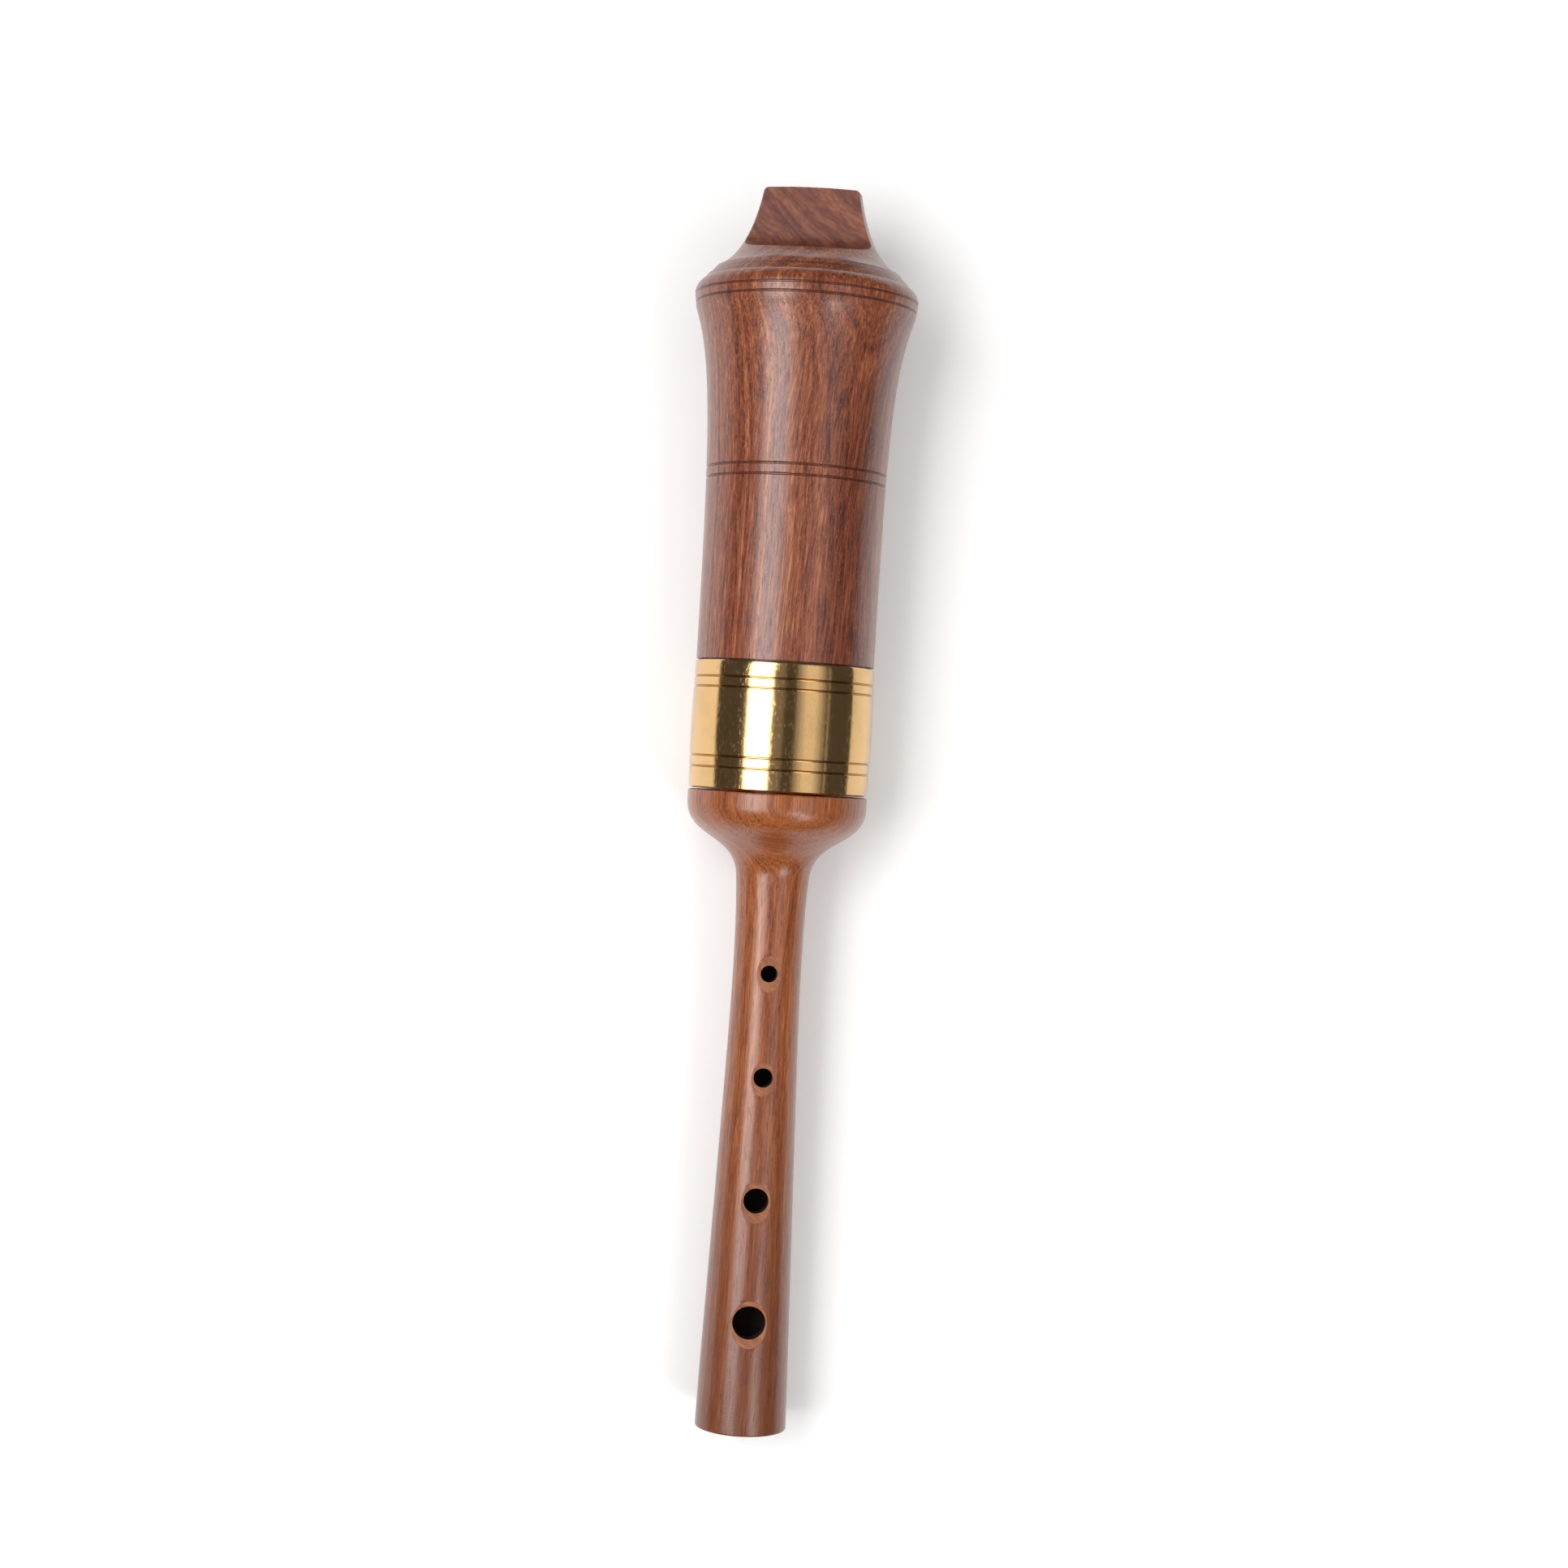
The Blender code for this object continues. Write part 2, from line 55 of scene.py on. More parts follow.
# The photograph: its width and the focal length in pixels, and where the axis point nearest the lens shows
PICTURE = 1932
FOCAL_PIXELS = 3400
SENSOR_MM = 36
AXIS_POINT = (960.5, 935)
CAMERA_DISTANCE = 578.0
CAMERA_HEIGHT_UP_AXIS = 140.0
CAMERA_SWING = math.radians(4.1)
CAMERA_ROLL = math.radians(3.4)

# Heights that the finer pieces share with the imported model
LENGTH = 259.4
NECK = 95.8
THROAT = 114.5
BULB = 130.5
SEAM = 132.8
GAP = 0.3
CAP_FOOT = SEAM + GAP
FERRULE_TOP = CAP_FOOT + 26.6
WIDEST = CAP_FOOT + 103.1
CHAMBER_TOP = WIDEST + 4.8
TENON_TOP = SEAM + 22.0
LAPPING = (SEAM + 3.5, SEAM + 18.5)
WELL_FLOOR = TENON_TOP - 18.0
STAPLE_FOOT = WELL_FLOOR + GAP
STAPLE_TOP = STAPLE_FOOT + 38.0
BLADE_FOOT = STAPLE_TOP - 8.0
CAP_GROOVES = (FERRULE_TOP + 38.1, FERRULE_TOP + 40.3, WIDEST - 1.9, WIDEST)
# The shoulder line is only painted: a painted shadow line on the wood just above the arris, where there is no
# groove
SHOULDER_LINE = WIDEST + 4.4
FERRULE_LINES = (CAP_FOOT + 4.55, CAP_FOOT + 6.8, FERRULE_TOP - 5.5, FERRULE_TOP - 3.4)

# Radii that they share with it
NECK_RADIUS = 7.13
THROAT_RADIUS = 7.6
BULB_RADIUS = 18.75
TENON_RADIUS = 12.0
LAPPING_DEPTH = 1.2
WELL_RADIUS = 4.0
BORE_TOP_RADIUS = 2.1
BORE_FOOT_RADIUS = 6.0
SOCKET_RADIUS = 12.5
CHAMBER_RADIUS = 11.5
SEAT_RADIUS = 17.2
BODY_RADIUS = 18.6
WIDEST_RADIUS = 23.4
FERRULE_RADIUS = 18.7
FERRULE_BORE_RADIUS = 17.5

# The holes: height, width, how deep the scoop round it is, and its side of the instrument
FINGER_HOLES = ((23.4, 6.9, 0.81, -1), (48.5, 5.2, 0.60, -1), (73.9, 4.0, 0.40, -1), (95.4, 3.5, 0.46, -1))
THUMB_HOLE = (104.0, 3.5, 0.40, 1)
SCOOP_RADIUS = 15.0

# The beak: its flats and how they close towards the tip, its slot, and how far a cutter stands out of it
CAP_TURN = math.radians(-8.6)
FLAT_FOOT = LENGTH - 10.5
FLAT_REACH = 4.2
FLAT_END = (17.5, FLAT_FOOT - 4.6)
TIP_REACH = 2.7
FLAT_SLOPE = 0.14
SLOT_END = 4.4
SLOT_RADIUS = 1.1
SPARE = 5
SPARE_RADIUS = 30

# The reed: where its blades stop being round, their length, their half width, half depth and thickness while
# they are round and at their tip, where their bark fades out, and the place and radius of the bridle wire
BLADE_ROUND = 9.0
BLADE_LENGTH = 28.0
BLADE_AT_FOOT = (3.2446, 3.2446, 0.9)
BLADE_AT_TIP = (4.6, 0.75, 0.35)
BARK_FADE = (3.6, 10.1)
BRIDLE_RISE = 13.0
BRIDLE_WIRE = 0.35
BRIDLE_STEPS = 64

# Colours of the wood's marks, and how high up the instrument the darkening of its foot reaches
FLECK = (0.400, 0.145, 0.050, 1)
PORE = (0.028, 0.010, 0.008, 1)
# Painted shade that darkens the wood in its grooves and along the shoulder line
PAINTED_GROOVE_SHADE = (0.030, 0.012, 0.008, 1)
FOOT_DARKENING = (0.095, 0.026, 0.011, 1)
FOOT_DARKENING_TOP = 94.7
CAP_STOPS = (
    (0.39, (0.050, 0.011, 0.008)),
    (0.45, (0.125, 0.029, 0.014)),
    (0.50, (0.185, 0.047, 0.020)),
    (0.55, (0.250, 0.074, 0.029)),
    (0.61, (0.380, 0.140, 0.058)),
)
CHANTER_STOPS = (
    (0.39, (0.122, 0.027, 0.008)),
    (0.45, (0.200, 0.050, 0.013)),
    (0.50, (0.252, 0.067, 0.017)),
    (0.55, (0.303, 0.088, 0.024)),
    (0.61, (0.400, 0.134, 0.043)),
)
FLAT_STOPS = (
    (0.40, (0.105, 0.032, 0.023)),
    (0.47, (0.145, 0.045, 0.028)),
    (0.53, (0.185, 0.060, 0.034)),
    (0.60, (0.230, 0.082, 0.044)),
)
SCOOP_STOPS = ((0.40, (0.200, 0.060, 0.021)), (0.50, (0.265, 0.086, 0.031)), (0.62, (0.330, 0.120, 0.046)))
# Near-black painted shade for the walls of the bore, the finger holes and the blowing slot
BORE_SHADE_STOPS = ((0.40, (0.014, 0.007, 0.007)), (0.60, (0.032, 0.015, 0.013)))
CANE_STOPS = ((0.34, (0.42, 0.26, 0.09)), (0.5, (0.66, 0.47, 0.20)), (0.66, (0.80, 0.64, 0.34)))

# The shares of broad rings, narrow rings, streaks and fibres in the colour of each wood, which add up to 1
CAP_SHARES = (0.22, 0.14, 0.34, 0.30)
CHANTER_SHARES = (0.14, 0.24, 0.24, 0.38)


def lay(point):
    """A point of the upright instrument, in millimetres, laid down in the row frame, in metres."""
    x, y, z = point
    return Vector((x, z - LENGTH / 2, -y)) * MM


def mix(a, b, share):
    """The value a share of the way from a to b."""
    return a + (b - a) * share


def sweep(start, end, pull, steps):
    """Points of a cubic curve between two (radius, height) points, bent by its two pulls."""
    handles = [(mix(start[0], end[0], r), mix(start[1], end[1], z)) for r, z in pull]
    controls = (start, *handles, end)
    points = []
    for i in range(steps + 1):
        t = i / steps
        weights = ((1 - t) ** 3, 3 * (1 - t) ** 2 * t, 3 * (1 - t) * t**2, t**3)
        points.append(tuple(sum(w * p[axis] for w, p in zip(weights, controls)) for axis in (0, 1)))
    return points


def arc(centre, radii, start, end, steps):
    """Points of an arc of a circle or an ellipse, from a start angle to an end angle in degrees."""
    angles = [math.radians(mix(start, end, i / steps)) for i in range(steps + 1)]
    return [(centre[0] + radii[0] * math.cos(a), centre[1] + radii[1] * math.sin(a)) for a in angles]


def radius_at(outline, height):
    """The radius of a climbing outline at a height."""
    for (r0, z0), (r1, z1) in zip(outline, outline[1:]):
        if z0 <= height < z1:
            return mix(r0, r1, (height - z0) / (z1 - z0))
    return outline[-1][0]


def scribed(outline, heights, width, depth):
    """A climbing outline with a fine groove cut into it at each height, with a small flat at its bottom."""
    for height in heights:
        low, high = height - width / 2, height + width / 2
        floor = radius_at(outline, height) - depth
        groove = [
            (radius_at(outline, low), low),
            (floor, height - width / 8),
            (floor, height + width / 8),
            (radius_at(outline, high), high),
        ]
        below = [point for point in outline if point[1] < low]
        above = [point for point in outline if point[1] > high]
        outline = below + groove + above
    return outline


def fine(outline, longest):
    """An outline whose long straight stretches are divided, so that its faces stay compact."""
    points = [outline[0]]
    for start, end in zip(outline, outline[1:]):
        count = max(1, math.ceil(math.dist(start, end) / longest))
        shares = [i / count for i in range(1, count + 1)]
        points += [(mix(start[0], end[0], share), mix(start[1], end[1], share)) for share in shares]
    return points


def pipe_outline():
    """The outside of the chanter, from its foot up to the collar."""
    foot = [(9.2, 0), (9.45, 0.08), (9.55, 0.35)]
    neck, throat, bulb = (NECK_RADIUS, NECK), (THROAT_RADIUS, THROAT), (BULB_RADIUS, BULB)
    pipe = sweep(foot[-1], neck, ((0.33, 0.33), (1.0, 0.85)), 30)[1:]
    flare = sweep(neck, throat, ((0.0, 0.4), (0.3, 0.8)), 8)[1:]
    cup = sweep(throat, bulb, ((0.01, 0.6), (1.0, 0.475)), 34)[1:]
    collar = [(BULB_RADIUS, SEAM - 0.35), (BULB_RADIUS - 0.1, SEAM - 0.1), (BULB_RADIUS - 0.35, SEAM)]
    return foot + pipe + flare + cup + collar


def cap_outline():
    """The outside of the cap, from the shoulder above its ferrule up to the middle of its tip."""
    body = [(BODY_RADIUS, FERRULE_TOP + GAP)]
    body += sweep((BODY_RADIUS, FERRULE_TOP + 12.3), (22.95, WIDEST - 3), ((0, 0.67), (0.274, 0.853)), 36)
    edge = 3.47
    body += arc((WIDEST_RADIUS - edge, WIDEST), (edge, edge), 0, 60, 12)
    body = scribed(body, CAP_GROOVES, width=0.6, depth=0.28)
    arris = [(21.07, WIDEST + 3.8), (20.98, WIDEST + 3.93), (20.72, WIDEST + 3.98)]
    tip, rim = 258.1, 1.0
    beak = sweep((19.36, WIDEST + 5.6), (9.4 + rim, tip), ((0.695, 0.175), (0.925, 0.79)), 24)
    rounding = arc((9.4, tip), (rim, rim), 0, 80, 8)[1:]
    return body + arris + beak + rounding + [(5.0, LENGTH - 0.09), (0, LENGTH)]


def turned(outline, closed, sides=SIDES):
    """A bmesh turned from an outline. An outline that isn't closed starts and ends on the axis."""
    shape = bmesh.new()
    loop = fine(outline + outline[:1], LONGEST_EDGE)[:-1] if closed else fine(outline, LONGEST_EDGE)
    corners = [shape.verts.new(lay((radius, 0, height))) for radius, height in loop]
    followers = corners[1:] + corners[:1] if closed else corners[1:]
    edges = [shape.edges.new(pair) for pair in zip(corners, followers) if pair[0].co != pair[1].co]
    bmesh.ops.spin(
        shape, geom=corners + edges, axis=(0, 1, 0), cent=(0, 0, 0), angle=math.tau, steps=sides
    )
    bmesh.ops.remove_doubles(shape, verts=shape.verts, dist=HAIR * MM)
    return shape


def lofted(sections, ring=False):
    """A bmesh through a row of matching closed sections, which meets its own start if it is a ring."""
    shape = bmesh.new()
    loops = [[shape.verts.new(lay(point)) for point in section] for section in sections]
    followers = loops[1:] + loops[:1] if ring else loops[1:]
    for near, far in zip(loops, followers):
        for side in zip(near, near[1:] + near[:1], far[1:] + far[:1], far):
            shape.faces.new(side)
    if not ring:
        shape.faces.new(loops[0])
        shape.faces.new(loops[-1])
    return shape


def piece(name, shape, material):
    """An object made from a bmesh, with its faces pointing out and smooth between crisp edges."""
    bmesh.ops.recalc_face_normals(shape, faces=shape.faces)
    mesh = bpy.data.meshes.new(name)
    shape.to_mesh(mesh)
    shape.free()
    mesh.materials.append(material)
    mesh.shade_smooth()
    mesh.set_sharp_from_angle(angle=CREASE_ANGLE)
    made = bpy.data.objects.new(name, mesh)
    bpy.context.scene.collection.objects.link(made)
    return made


def settled(made):
    """Turns a piece's modifiers into its own plain mesh."""
    bpy.context.view_layer.update()
    done = made.evaluated_get(bpy.context.evaluated_depsgraph_get())
    mesh = bpy.data.meshes.new_from_object(done)
    made.modifiers.clear()
    made.data = mesh


def carved(made, cutters):
    """Cuts cutters out of a piece one after another. The cut faces take each cutter's finish."""
    for cutter in cutters:
        step = made.modifiers.new(cutter.name, "BOOLEAN")
        step.operation = "DIFFERENCE"
        step.solver = "EXACT"
        step.material_mode = "TRANSFER"
        step.object = cutter
    settled(made)
    for cutter in cutters:
        bpy.data.objects.remove(cutter)
    made.data.shade_smooth()
    made.data.set_sharp_from_angle(angle=CREASE_ANGLE)
    return made


def shown(made, body, slot, *nodes):
    """Lets a piece stand for CAD nodes and ride on a body. Its slot is not used."""
    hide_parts(*nodes)
    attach(made, body)


class Value:
    """A shader socket that works in Python expressions: each operator adds its Math node."""

    def __init__(self, finish, socket):
        self.finish = finish
        self.socket = socket

    def apply(self, operation, first, second):
        return self.finish.node("ShaderNodeMath", {"operation": operation}, {0: first, 1: second})

    def __add__(self, other):
        return self.apply("ADD", self, other)

    def __radd__(self, other):
        return self.apply("ADD", other, self)

    def __sub__(self, other):
        return self.apply("SUBTRACT", self, other)

    def __rsub__(self, other):
        return self.apply("SUBTRACT", other, self)

    def __mul__(self, other):
        return self.apply("MULTIPLY", self, other)

    def __rmul__(self, other):
        return self.apply("MULTIPLY", other, self)

    def __abs__(self):
        return self.apply("ABSOLUTE", self, 0.0)


class Finish:
    """One material, and the nodes that make its surface.

    Patterns are laid out in millimetres of the row frame."""

    def __init__(self, name, **fixed):
        self.material = bpy.data.materials.new(name)
        self.material.use_nodes = True
        self.tree = self.material.node_tree
        self.shader = self.tree.nodes["Principled BSDF"]
        for socket, value in fixed.items():
            self.shader.inputs[socket.replace("_", " ")].default_value = value
        place = self.node("ShaderNodeTexCoord", output="Object")
        self.place = self.node("ShaderNodeMapping", {}, {"Vector": place, "Scale": (1000, 1000, 1000)})

    def node(self, kind, settings=None, inputs=None, output=0):
        """Adds a node: its settings come first, then the values or links of its sockets."""
        made = self.tree.nodes.new(kind)
        for name, value in (settings or {}).items():
            if name == "stops":
                self.set_stops(made.color_ramp, value)
            else:
                setattr(made, name, value)
        for key, value in (inputs or {}).items():
            self.plug(made.inputs[key], value)
        return Value(self, made.outputs[output])

    def plug(self, socket, value):
        """Gives a socket a value or a link."""
        if isinstance(value, Value):
            self.tree.links.new(value.socket, socket)
        else:
            socket.default_value = value

    def set_stops(self, ramp, stops):
        """Sets the stops of a colour ramp as (position, colour) pairs."""
        while len(ramp.elements) < len(stops):
            ramp.elements.new(1.0)
        for element, (position, colour) in zip(ramp.elements, stops):
            element.position = position
            element.color = (*colour, 1.0)

    def lean(self, angles):
        """Turns the pattern, so that the grain leans."""
        self.place = self.node("ShaderNodeMapping", {}, {"Vector": self.place, "Rotation": angles})

    def wave(self, scale, reach):
        """Shifts the pattern to and fro by slow noise, so that the grain waves, by a reach in millimetres."""
        slow = self.noise(scale, 1.0, output="Color")
        sockets = {0: slow, 1: (reach, reach, reach), 2: self.place}
        self.place = self.node("ShaderNodeVectorMath", {"operation": "MULTIPLY_ADD"}, sockets)

    def noise(self, scale, detail=2.0, roughness=0.55, output=0):
        """Noise from 0 to 1, with its own scale per millimetre on each axis."""
        stretched = self.node("ShaderNodeMapping", {}, {"Vector": self.place, "Scale": scale})
        sockets = {"Vector": stretched, "Scale": 1.0, "Detail": detail, "Roughness": roughness}
        return self.node("ShaderNodeTexNoise", {"noise_dimensions": "3D"}, sockets, output)

    def streaks(self, along, detail=3.0, roughness=0.6):
        """Noise from 0 to 1 that changes with one value only."""
        sockets = {"W": along, "Scale": 1.0, "Detail": detail, "Roughness": roughness}
        return self.node("ShaderNodeTexNoise", {"noise_dimensions": "1D"}, sockets)

    def ramp(self, value, stops):
        """A colour for each value."""
        return self.node("ShaderNodeValToRGB", {"stops": stops}, {"Fac": value})

    def level(self, value, low, high, start=0.0, end=1.0):
        """A value mapped from its own range low..high to start..end, and kept inside it."""
        sockets = {"Value": value, "From Min": low, "From Max": high, "To Min": start, "To Max": end}
        return self.node("ShaderNodeMapRange", {"interpolation_type": "SMOOTHSTEP"}, sockets)

    def blend(self, share, first, second):
        """Two colours mixed by a share."""
        return self.node("ShaderNodeMix", {"data_type": "RGBA"}, {0: share, 6: first, 7: second}, output=2)

    def along(self):
        """The place along the instrument."""
        return self.node("ShaderNodeSeparateXYZ", {}, {"Vector": self.place}, output="Y")

    def away(self, shift, axes=(1, 0, 1)):
        """The distance from the middle of the pattern, once it is moved by a shift.

        Only the axes that are 1 count, so the usual ones give the distance from a line along the grain."""
        moved = self.node("ShaderNodeMapping", {}, {"Vector": self.place, "Location": shift})
        kept = self.node("ShaderNodeVectorMath", {"operation": "MULTIPLY"}, {0: moved, 1: axes})
        return self.node("ShaderNodeVectorMath", {"operation": "LENGTH"}, {0: kept}, output="Value")

    def bands(self, heights, half_width):
        """1 on narrow bands round the instrument, at heights above its foot, and 0 between them."""
        inside = 0.0
        for height in heights:
            away = abs(self.along() - (height - LENGTH / 2))
            inside = self.level(away, half_width, 1.7 * half_width, 1.0, 0.0) + inside
        return inside

    def surface(self, colour, roughness, height, depth):
        """Feeds the shader, with the relief's depth in millimetres."""
        self.plug(self.shader.inputs["Base Color"], colour)
        self.plug(self.shader.inputs["Roughness"], roughness)
        relief = self.node("ShaderNodeBump", {}, {"Strength": 1.0, "Distance": depth * MM, "Height": height})
        self.plug(self.shader.inputs["Normal"], relief)
        return self.material


def rosewood(name, stops, shares, pith, lean, grooves, dark_foot):
    """Oiled turned rosewood: rings, streaks, fibres, bright flecks, pores, lathe lines, and painted shade in
    bands at the heights it is given as grooves.

    The pith is the heart of the tree that the wood was cut from, and the dark foot is how far the wood is
    darkened at the foot of the instrument."""
    finish = Finish(name, Coat_Weight=0.28, Coat_Roughness=0.2, IOR=1.48)
    lathe = finish.streaks(finish.along() * 2.4, detail=4.0, roughness=0.75)
    # Painted shade: dark bands at the grooves and along the shoulder line
    painted_shade_lines = finish.bands(grooves, half_width=0.15)
    # The wood grows darker towards the foot of the instrument
    heart = finish.level(finish.along(), -LENGTH / 2, FOOT_DARKENING_TOP - LENGTH / 2, dark_foot, 0.0)
    finish.lean(lean)
    finish.wave((0.09, 0.02, 0.09), reach=2.6)
    distance = finish.away(pith)
    broad = finish.streaks(distance * 0.5, detail=2.0)
    narrow = finish.streaks(distance * 2.0, detail=3.0, roughness=0.7)
    streak = finish.noise((1.7, 0.11, 1.7), detail=3.0, roughness=0.65)
    fibre = finish.noise((4.5, 0.14, 4.5), detail=2.0, roughness=0.6)
    tone = broad * shares[0] + narrow * shares[1] + streak * shares[2] + fibre * shares[3]
    pores = finish.level(finish.noise((4.2, 0.22, 4.2), detail=1.0), 0.62, 0.70)
    flecks = finish.level(finish.noise((5.0, 0.9, 5.0), detail=2.0), 0.55, 0.67)
    colour = finish.ramp(tone, stops)
    for share, mark in ((flecks * 0.35, FLECK), (pores * 0.6, PORE), (painted_shade_lines * 0.6, PAINTED_GROOVE_SHADE)):
        colour = finish.blend(share, colour, mark)
    colour = finish.blend(heart, colour, FOOT_DARKENING)
    height = lathe * 0.5 + fibre * 0.25 - pores * 0.5
    return finish.surface(colour, fibre * 0.14 + 0.23, height, depth=0.03)


def filed_rosewood(name, stops, roughness):
    """Rosewood that was filed or drilled across its rings: matte, with a slanting, waving figure."""
    finish = Finish(name, Coat_Weight=0.05, Coat_Roughness=0.4, IOR=1.48)
    marks = finish.noise((1.2, 9.0, 1.2), detail=2.0)
    finish.lean((0.30, 0.0, -0.85))
    finish.wave((0.07, 0.07, 0.07), reach=9.0)
    distance = finish.away((22, 0, 46))
    figure = finish.streaks(distance * 0.34, detail=2.0)
    narrow = finish.streaks(distance * 1.8, detail=3.0)
    fibre = finish.noise((1.3, 0.45, 1.3), detail=3.0)
    colour = finish.ramp(figure * 0.40 + narrow * 0.15 + fibre * 0.45, stops)
    return finish.surface(colour, fibre * 0.15 + roughness, marks * 0.5 + fibre * 0.4, depth=0.02)


def turned_brass(name, colour, roughness, depth, grooves=()):
    """Brass with the fine lines of the lathe round it, rubbed spots, a little tarnish, and painted shade in its
    grooves.
    """
    finish = Finish(name, Metallic=1.0)
    lines = finish.streaks(finish.along() * 5.5, detail=5.0, roughness=0.8)
    cloud = finish.noise((0.12, 0.12, 0.12), detail=3.0)
    rubbed = finish.level(finish.noise((2.6, 0.9, 2.6), detail=2.0), 0.56, 0.66)
    dull = tuple(0.8 * channel for channel in colour)
    shade = finish.blend(finish.level(cloud, 0.42, 0.7, 0.0, 0.5), (*colour, 1), (*dull, 1))
    if grooves:
        # Painted shade: the brass colour is darkened in its grooves
        painted_crevice_shade = (0.16, 0.07, 0.03, 1)
        shade = finish.blend(finish.bands(grooves, half_width=0.1) * 0.5, shade, painted_crevice_shade)
    return finish.surface(shade, lines * 0.05 + rubbed * 0.12 + roughness, lines + rubbed * 0.5, depth)


def thread(name, light, dark, valley, crest):
    """Waxed thread: fibres that run round with the winding, and painted shade down in the valleys between its
    turns.

    The valley and the crest are radii: the painted shade is full at the first and gone at the second."""
    finish = Finish(name, Sheen_Weight=0.15, IOR=1.45)
    fibre = finish.noise((1.1, 5.0, 1.1), detail=3.0)
    patch = finish.noise((0.25, 0.25, 0.25), detail=2.0)
    colour = finish.ramp(fibre * 0.7 + patch * 0.3, ((0.36, dark), (0.62, light)))
    # Painted shade: the colour darkens towards the valleys between the turns
    between = finish.level(finish.away((0, 0, 0)), valley, crest, 0.8, 0.0)
    painted_crevice_shade = tuple(0.3 * channel for channel in dark)
    colour = finish.blend(between, colour, (*painted_crevice_shade, 1))
    return finish.surface(colour, patch * 0.2 + 0.5, fibre, depth=0.05)


def cane(name):
    """Cane with straight fibres: pale where it is scraped, and brown where its bark stays near the binding."""
    finish = Finish(name, IOR=1.5)
    fibre = finish.noise((3.2, 0.05, 3.2), detail=4.0, roughness=0.65)
    start, end = (BLADE_FOOT + rise - LENGTH / 2 for rise in BARK_FADE)
    scraped = finish.level(finish.along(), start, end)
    colour = finish.blend(1 - scraped, finish.ramp(fibre, CANE_STOPS), (0.62, 0.36, 0.10, 1))
    return finish.surface(colour, fibre * 0.2 + 0.35, fibre, depth=0.03)


def make_chanter():
    """The chanter, with its scooped and drilled holes."""
    grain = {"pith": (14, 0, 95), "lean": (0.012, 0.0, 0.02)}
    wood = rosewood("chanter_rosewood", CHANTER_STOPS, CHANTER_SHARES, **grain, grooves=(), dark_foot=0.62)
    scooped = filed_rosewood("scooped_rosewood", SCOOP_STOPS, roughness=0.42)
    painted_bore_shade = filed_rosewood("bore_painted_shade", BORE_SHADE_STOPS, roughness=0.55)
    outline = pipe_outline()
    full, floor = TENON_RADIUS, TENON_RADIUS - LAPPING_DEPTH
    tenon = [(full, SEAM), (full, LAPPING[0]), (floor, LAPPING[0]), (floor, LAPPING[1]), (full, LAPPING[1])]
    tenon += [(full, TENON_TOP - 0.6), (full - 0.6, TENON_TOP)]
    bore = [(WELL_RADIUS, TENON_TOP), (WELL_RADIUS, WELL_FLOOR), (BORE_TOP_RADIUS, WELL_FLOOR)]
    bore += [(BORE_FOOT_RADIUS, 0.2), (BORE_FOOT_RADIUS + 0.2, 0)]
    chanter = piece("chanter_turning", turned(outline + tenon + bore, True), wood)
    chanter.data.materials.append(painted_bore_shade)
    bore_top = lay((0, 0, TENON_TOP - 0.1)).y
    # The faces inside the bore take the near-black painted shade
    for face in chanter.data.polygons:
        outward = math.hypot(face.center.x, face.center.z)
        if outward < (BORE_FOOT_RADIUS + 0.4) * MM and face.center.y < bore_top:
            face.material_index = 1
    scoops, drills = bmesh.new(), bmesh.new()
    for height, width, depth, side in (*FINGER_HOLES, THUMB_HOLE):
        surface = radius_at(outline, height)
        centre = (surface + SCOOP_RADIUS - depth, height)
        drum = arc(centre, (SCOOP_RADIUS, SCOOP_RADIUS), 150, 210, SMALL_SIDES)
        scoop = lofted([[(x, side * reach, z) for reach, z in drum] for x in (-surface, surface)])
        rim = [(x, height + z) for x, z in arc((0, 0), (width / 2, width / 2), 0, 360, SMALL_SIDES)[1:]]
        drill = lofted([[(x, side * reach, z) for x, z in rim] for reach in (0.01, surface + width)])
        for whole, part in ((scoops, scoop), (drills, drill)):
            bmesh.ops.recalc_face_normals(part, faces=part.faces)
            mesh = bpy.data.meshes.new("part")
            part.to_mesh(mesh)
            whole.from_mesh(mesh)
            part.free()
            bpy.data.meshes.remove(mesh)
    cutters = [piece("scoops", scoops, scooped), piece("drills", drills, painted_bore_shade)]
    shown(carved(chanter, cutters), "chanter", "chanter_rosewood", "chanter")


